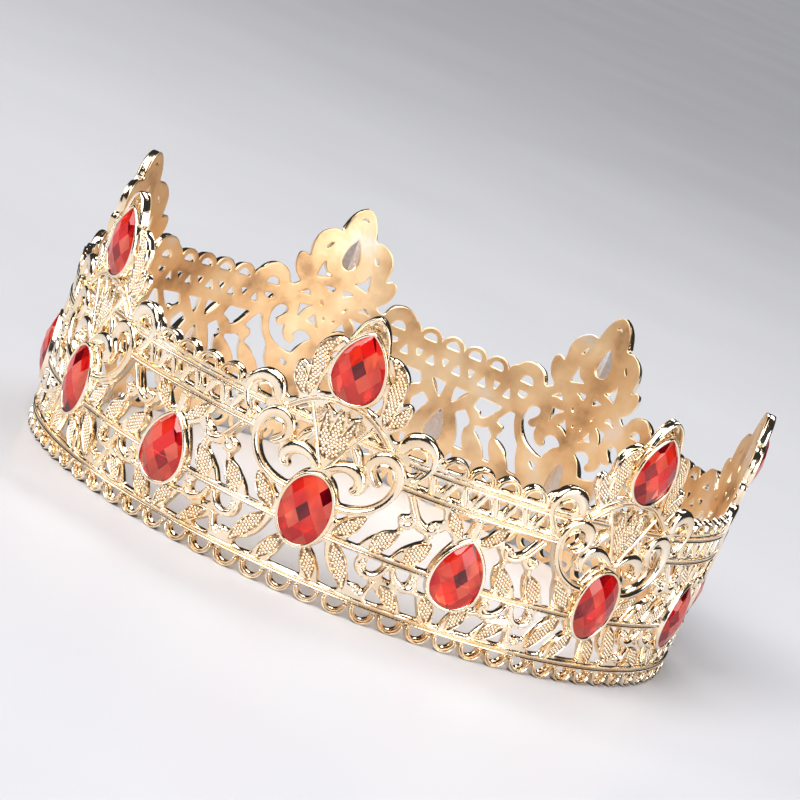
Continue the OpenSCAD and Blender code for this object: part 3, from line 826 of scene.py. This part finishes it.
# ---------------------------------------------------------------------------------------------
# Stones: checkerboard-cut crown, girdle and foiled pavilion
# ---------------------------------------------------------------------------------------------
def stone_mesh(outline, middle_y, half_y):
    """A convex stone, cut from a prism of its outline by the planes of its facets."""
    bm = bmesh.new()
    low = [bm.verts.new((x, y, CULET_W)) for x, y in outline]
    high = [bm.verts.new((x, y, TABLE_W + 1)) for x, y in outline]
    n = len(outline)
    for i in range(n):
        bm.faces.new((low[i], low[(i + 1) % n], high[(i + 1) % n], high[i]))
    bm.faces.new(low[::-1])
    bm.faces.new(high)
    planes = []
    crown = TABLE_W - GIRDLE_HIGH
    for i in range(-4, 5):
        for j in range(-4, 5):
            x, y = i * FACET_STEP, j * FACET_STEP
            if (i + j) % 2 or x * x + y * y > 1.0:
                continue
            at = (x * STONE_A, y * half_y + middle_y, TABLE_W - crown * (x * x + y * y))
            planes.append((at, (2 * crown * x / STONE_A, 2 * crown * y / half_y, 1)))
    for side in (1, -1):
        planes.append(((0, middle_y, CULET_W), (side * KEEL_RISE, 0, -1)))
        planes.append(((0, middle_y + side * half_y * KEEL_END, CULET_W), (0, side * KEEL_RISE, -1)))
    out = outward(outline)
    for level, (slant, up), every in ((GIRDLE_HIGH, CROWN_BEVEL, 3), (GIRDLE_LOW, PAVILION_BEVEL, 4)):
        for k in range(0, n, every):
            planes.append(((*outline[k], level), (slant * out[k, 0], slant * out[k, 1], up)))
    for at, normal in planes:
        cut = bmesh.ops.bisect_plane(
            bm, geom=bm.verts[:] + bm.edges[:] + bm.faces[:], plane_co=at, plane_no=normal, clear_outer=True
        )
        edges = [e for e in cut["geom_cut"] if isinstance(e, bmesh.types.BMEdge)]
        if edges:
            bmesh.ops.edgeloop_fill(bm, edges=edges)
    bmesh.ops.remove_doubles(bm, verts=bm.verts[:], dist=1e-4)
    bmesh.ops.recalc_face_normals(bm, faces=bm.faces[:])
    points = np.array([tuple(v.co) for v in bm.verts])
    bm.verts.index_update()
    faces = [[v.index for v in f.verts] for f in bm.faces]
    is_back = [f.normal.z < -0.05 for f in bm.faces]
    # painted light: how bright each facet is painted, for the light it would send back
    painted_lights = [painted_facet_light(f.normal) for f in bm.faces]
    bm.free()
    return points, faces, is_back, painted_lights


def painted_facet_light(normal):
    """Painted light: how much light a facet is painted as sending back. It jumps from one facet to the next.
    """
    jump = math.sin(normal.x * 37.0 + normal.y * 61.0 + 0.6) * 43.7
    return jump - math.floor(jump)


# ---------------------------------------------------------------------------------------------
# Materials
# ---------------------------------------------------------------------------------------------
def shader(name):
    mat = bpy.data.materials.new(name)
    mat.use_nodes = True
    nodes, links = mat.node_tree.nodes, mat.node_tree.links
    return mat, nodes, links, nodes["Principled BSDF"]


def noise(nodes, links, scale, detail):
    """Noise over the surface, in the object's own coordinates."""
    where = nodes.new("ShaderNodeTexCoord")
    texture = nodes.new("ShaderNodeTexNoise")
    texture.inputs["Scale"].default_value = scale
    texture.inputs["Detail"].default_value = detail
    links.new(where.outputs["Object"], texture.inputs["Vector"])
    return texture.outputs["Fac"]


def ramp(nodes, links, source, stops):
    """Colours along the source: stops are (position, colour)."""
    made = nodes.new("ShaderNodeValToRGB")
    first, last = made.color_ramp.elements
    first.position, first.color = stops[0][0], (*stops[0][1], 1)
    last.position, last.color = stops[-1][0], (*stops[-1][1], 1)
    for position, colour in stops[1:-1]:
        made.color_ramp.elements.new(position).color = (*colour, 1)
    links.new(source, made.inputs["Fac"])
    return made.outputs["Color"]


def spread(nodes, links, source, low, high):
    """A value from low to high over the middle of the noise."""
    made = nodes.new("ShaderNodeMapRange")
    made.inputs["From Min"].default_value, made.inputs["From Max"].default_value = 0.3, 0.7
    made.inputs["To Min"].default_value, made.inputs["To Max"].default_value = low, high
    links.new(source, made.inputs["Value"])
    return made.outputs["Result"]


def metal(name, tint, stops, haze, roughness, grain, depth):
    """A metal whose colour, roughness and relief each follow a noise: (scale, detail)."""
    mat, nodes, links, bsdf = shader(name)
    bsdf.inputs["Metallic"].default_value = 1.0
    links.new(ramp(nodes, links, noise(nodes, links, *tint), stops), bsdf.inputs["Base Color"])
    links.new(spread(nodes, links, noise(nodes, links, *haze), *roughness), bsdf.inputs["Roughness"])
    bump = nodes.new("ShaderNodeBump")
    bump.inputs["Distance"].default_value = depth
    links.new(noise(nodes, links, *grain), bump.inputs["Height"])
    links.new(bump.outputs["Normal"], bsdf.inputs["Normal"])
    return mat


def polished_gilt():
    """Pale gold plate: bright, with a faint cast unevenness and warmer patches."""
    stops = [(0.3, (0.90, 0.69, 0.45)), (0.52, (0.97, 0.82, 0.63)), (0.72, (1.0, 0.90, 0.77))]
    return metal("polished_gilt", (90, 5), stops, (420, 3), (0.06, 0.15), (1500, 3), 0.00004)


def shaded_gilt():
    """The beads on the wall itself: duller, and darker as painted shade for the recess they lie in."""
    stops = [(0.35, (0.40, 0.26, 0.13)), (0.65, (0.78, 0.58, 0.36))]
    return metal("shaded_gilt", (700, 3), stops, (500, 3), (0.35, 0.5), (2500, 2), 0.00008)


def pit_shade_gilt():
    """The fields of the leaves: painted shade, dark in the pits between the beads."""
    stops = [(0.35, (0.26, 0.18, 0.11)), (0.65, (0.68, 0.51, 0.35))]
    return metal("pit_shade_gilt", (900, 2), stops, (500, 3), (0.25, 0.4), (1800, 2), 0.00006)


def satin_gilt():
    """The inside and the edges of the wall: satin, mottled, a little deeper in colour."""
    stops = [(0.3, (0.42, 0.25, 0.13)), (0.43, (0.86, 0.57, 0.31)), (0.58, (1.0, 0.76, 0.47)),
             (0.7, (1.0, 0.87, 0.74))]
    return metal("satin_gilt", (70, 8), stops, (110, 8), (0.33, 0.5), (700, 5), 0.00005)


def silver_foil():
    """The silvered back of a stone."""
    stops = [(0.3, (0.86, 0.86, 0.89)), (0.7, (0.98, 0.98, 1.0))]
    return metal("silver_foil", (200, 3), stops, (700, 2), (0.12, 0.25), (350, 2), 0.00002)


def ruby_glass():
    """Red glass, clear enough for the foil behind it to light it up. Each facet's colour is painted light,
    from dark maroon painted shade to pinkish red painted highlight.
    """
    mat, nodes, links, bsdf = shader("ruby_glass")
    bsdf.inputs["Transmission Weight"].default_value = 0.65
    bsdf.inputs["IOR"].default_value = 1.56
    bsdf.inputs["Specular IOR Level"].default_value = 0.3
    painted_light = nodes.new("ShaderNodeAttribute")
    painted_light.attribute_name = "painted_light"
    # painted light of the facets: dark maroon painted shade, reds, and a pinkish painted highlight
    stops = [(0.07, (0.10, 0.0, 0.003)), (0.18, (0.84, 0.008, 0.012)), (0.62, (1.0, 0.045, 0.02)),
             (0.92, (1.0, 0.17, 0.10))]
    links.new(ramp(nodes, links, painted_light.outputs["Fac"], stops), bsdf.inputs["Base Color"])
    links.new(spread(nodes, links, noise(nodes, links, 500, 2), 0.0, 0.03), bsdf.inputs["Roughness"])
    return mat


def pale_floor():
    mat, nodes, links, bsdf = shader("pale_floor")
    stops = [(0.3, (0.61, 0.61, 0.64)), (0.7, (0.65, 0.65, 0.68))]
    links.new(ramp(nodes, links, noise(nodes, links, 6, 3), stops), bsdf.inputs["Base Color"])
    bsdf.inputs["Roughness"].default_value = 0.45
    return mat


# ---------------------------------------------------------------------------------------------
# Pieces
# ---------------------------------------------------------------------------------------------
def turned(points, k):
    """The same points in unit k."""
    a = 2 * np.pi * (k - 1) / REPEATS
    c, s = math.cos(a), math.sin(a)
    return points @ np.array([[c, s, 0], [-s, c, 0], [0, 0, 1]])


def oriented(points, faces):
    """The faces, turned so that each solid's normals point out."""
    bm = bmesh.new()
    verts = [bm.verts.new(p) for p in points]
    made = [bm.faces.new([verts[i] for i in face]) for face in faces]
    bmesh.ops.recalc_face_normals(bm, faces=bm.faces[:])
    bm.verts.index_update()
    result = [[v.index for v in f.verts] for f in made]
    bm.free()
    return result


def add_piece(name, points, faces, materials, node, indices=None, faceted=False):
    """A piece that stands for a CAD node. indices says which of the materials each face has."""
    mesh = bpy.data.meshes.new(name)
    mesh.from_pydata(points.tolist(), [], faces)
    for mat in materials:
        mesh.materials.append(mat)
    if indices is not None:
        mesh.polygons.foreach_set("material_index", indices)
    if faceted:
        mesh.shade_flat()
    else:
        mesh.shade_smooth()
        mesh.set_sharp_from_angle(angle=math.radians(50))
    mesh.update()
    piece = bpy.data.objects.new(name, mesh)
    bpy.context.scene.collection.objects.link(piece)
    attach(piece, "root")
    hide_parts(node)
    return piece


def without_loose(points, faces):
    """The points that the faces use, and the faces, numbered to match."""
    used = np.zeros(len(points), bool)
    for face in faces:
        used[face] = True
    number = np.cumsum(used) - 1
    return points[used], [[int(number[i]) for i in face] for face in faces]


def make_castings(gilt, satin, pit_shade, shaded):
    """The eight pieces of each unit's casting, apart from its settings."""
    wall, wall_faces, back_count = wall_solid()
    wall, wall_faces = without_loose(wall, wall_faces)
    back_indices = [0] * (len(wall_faces) - back_count) + [1] * back_count
    pairs = leaf_pairs()
    pairs += [(left * [-1, 1], right * [-1, 1]) for right, left in pairs]
    shifts = [[PITCH, 0] if right[:, 0].mean() < SEAM_U else [0, 0] for right, _ in pairs]
    pairs = [(right + shift, left + shift) for (right, left), shift in zip(pairs, shifts)]
    pairs += axis_leaf_pairs()
    beading = beads(np.concatenate([bead_places(*pair) for pair in pairs]), BEAD_R, BEAD_LEVEL)
    groups = {
        "wall": ((wall, wall_faces), [gilt, satin], back_indices),
        "rails": (join(rails()), [gilt], None),
        "loops": (join(loop_ribs()), [gilt], None),
        "lattice": (join(lattice()), [gilt], None),
        "scrolls": (join(scrolls()), [gilt], None),
        # the fields of the leaves are painted dark as shade between the beads
        "leaves": (join([leaf(*pair) for pair in pairs]), [gilt, pit_shade], leaf_painted_shade(len(pairs))),
        "beading": (beading, [gilt], None),
        # the beads of the fan and the hood are darkened as painted shade
        "ground": (beads(np.concatenate(ground_places(pairs)), GROUND_BEAD_R, 0), [shaded], None),
    }
    for name, ((flat, faces), materials, indices) in groups.items():
        bent = on_ring(flat)
        faces = oriented(bent, faces)
        for k in range(1, REPEATS + 1):
            add_piece(f"{name}_{k}", turned(bent, k), faces, materials, f"frame_segment_{k}", indices=indices)


def stone_places():
    """Of each kind of stone: its outline, the middle and half of its height, and its place."""
    pear, oval = pear_outline(STONE_A, PEAR_TIP), oval_outline(STONE_A, OVAL_B)
    middle, half = (PEAR_TIP - STONE_A) / 2, (PEAR_TIP + STONE_A) / 2
    return {
        "peak": (pear, middle, half, 0, PEAK_Z),
        "oval": (oval, 0, OVAL_B, 0, OVAL_Z),
        "side": (pear, middle, half, SIDE_U, SIDE_Z),
    }


def make_settings(gilt):
    """The three rub-over settings of each unit."""
    for name, (outline, _, _, u, z) in stone_places().items():
        flat, faces = sweep(grown(outline, BEZEL_W / 2), BEZEL_W, BEZEL, closed=True)
        placed = on_wall(flat, u, z)
        faces = oriented(placed, faces)
        for k in range(1, REPEATS + 1):
            add_piece(f"{name}_setting_{k}", turned(placed, k), faces, [gilt], f"frame_segment_{k}")


def make_stones(glass, silver):
    """The three stones of each unit."""
    for name, (outline, middle_y, half_y, u, z) in stone_places().items():
        flat, faces, is_back, painted_lights = stone_mesh(outline, middle_y, half_y)
        placed = on_wall(flat, u, z)
        for k in range(1, REPEATS + 1):
            gem = add_piece(
                f"{name}_gem_{k}", turned(placed, k), faces, [glass, silver], f"{name}_stone_{k}",
                indices=[int(b) for b in is_back], faceted=True,
            )
            # each facet gets its painted light, moved on from one unit to the next
            painted_light = gem.data.attributes.new("painted_light", "FLOAT", "FACE")
            painted_light.data.foreach_set("value", [(t + k * PAINTED_LIGHT_SHIFT) % 1 for t in painted_lights])


# ---------------------------------------------------------------------------------------------
# Camera, lights and floor
# ---------------------------------------------------------------------------------------------
def make_camera():
    """The camera looks a little down at the front peak, from its right, and is rolled."""
    turn, tilt, roll = (math.radians(a) for a in (7.35, 9.75, 22.23))
    aim, distance = (-0.0005, 0, 0.0395), 0.990
    data = bpy.data.cameras.new("camera")
    data.lens, data.sensor_width = 169.5, 36.0
    data.clip_start, data.clip_end = 0.05, 20.0
    camera = bpy.data.objects.new("camera", data)
    bpy.context.scene.collection.objects.link(camera)
    camera.matrix_world = (
        Matrix.Rotation(turn, 4, "Z")
        @ Matrix.Translation(aim)
        @ Matrix.Rotation(math.pi / 2 - tilt, 4, "X")
        @ Matrix.Rotation(roll, 4, "Z")
        @ Matrix.Translation((0, 0, distance))
    )
    bpy.context.scene.camera = camera


def add_light(name, at, size, power):
    """A soft box that faces the middle of the crown."""
    data = bpy.data.lights.new(name, "AREA")
    data.shape = "RECTANGLE"
    data.size, data.size_y = size
    data.energy = power
    light = bpy.data.objects.new(name, data)
    light.location = at
    light.rotation_euler = (Vector((0, 0, 0.04)) - Vector(at)).to_track_quat("-Z", "Y").to_euler()
    bpy.context.scene.collection.objects.link(light)


def make_stage():
    """A pale floor, a dim sky, four soft boxes and a soft far light from over the viewer."""
    mesh = bpy.data.meshes.new("floor")
    half = 12.0
    corners = [(-half, -half, 0), (half, -half, 0), (half, half, 0), (-half, half, 0)]
    mesh.from_pydata(corners, [], [(0, 1, 2, 3)])
    mesh.materials.append(pale_floor())
    floor = bpy.data.objects.new("floor", mesh)
    floor.location.z = cad_box[0].z
    bpy.context.scene.collection.objects.link(floor)
    world = bpy.data.worlds.new("studio")
    world.use_nodes = True
    background = world.node_tree.nodes["Background"]
    background.inputs["Color"].default_value = (0.80, 0.82, 0.88, 1)
    background.inputs["Strength"].default_value = 0.04
    bpy.context.scene.world = world
    bpy.context.scene.view_settings.view_transform = "Standard"
    add_light("front_light", (-0.25, -1.25, 1.05), (1.2, 0.7), 9.5)
    add_light("left_light", (-1.2, -0.15, 0.75), (0.4, 0.9), 4.5)
    add_light("right_light", (1.25, -0.85, 0.55), (0.9, 0.9), 11)
    add_light("top_light", (0.15, 0.6, 1.2), (0.9, 0.4), 7)
    far = bpy.data.lights.new("far_light", "SUN")
    far.energy, far.angle = 2.7, math.radians(50)
    far_light = bpy.data.objects.new("far_light", far)
    far_light.rotation_euler = Vector((0.35, 0.75, -1.1)).to_track_quat("-Z", "Y").to_euler()
    bpy.context.scene.collection.objects.link(far_light)


make_camera()
make_stage()
gilt = polished_gilt()
make_castings(gilt, satin_gilt(), pit_shade_gilt(), shaded_gilt())
make_settings(gilt)
make_stones(ruby_glass(), silver_foil())
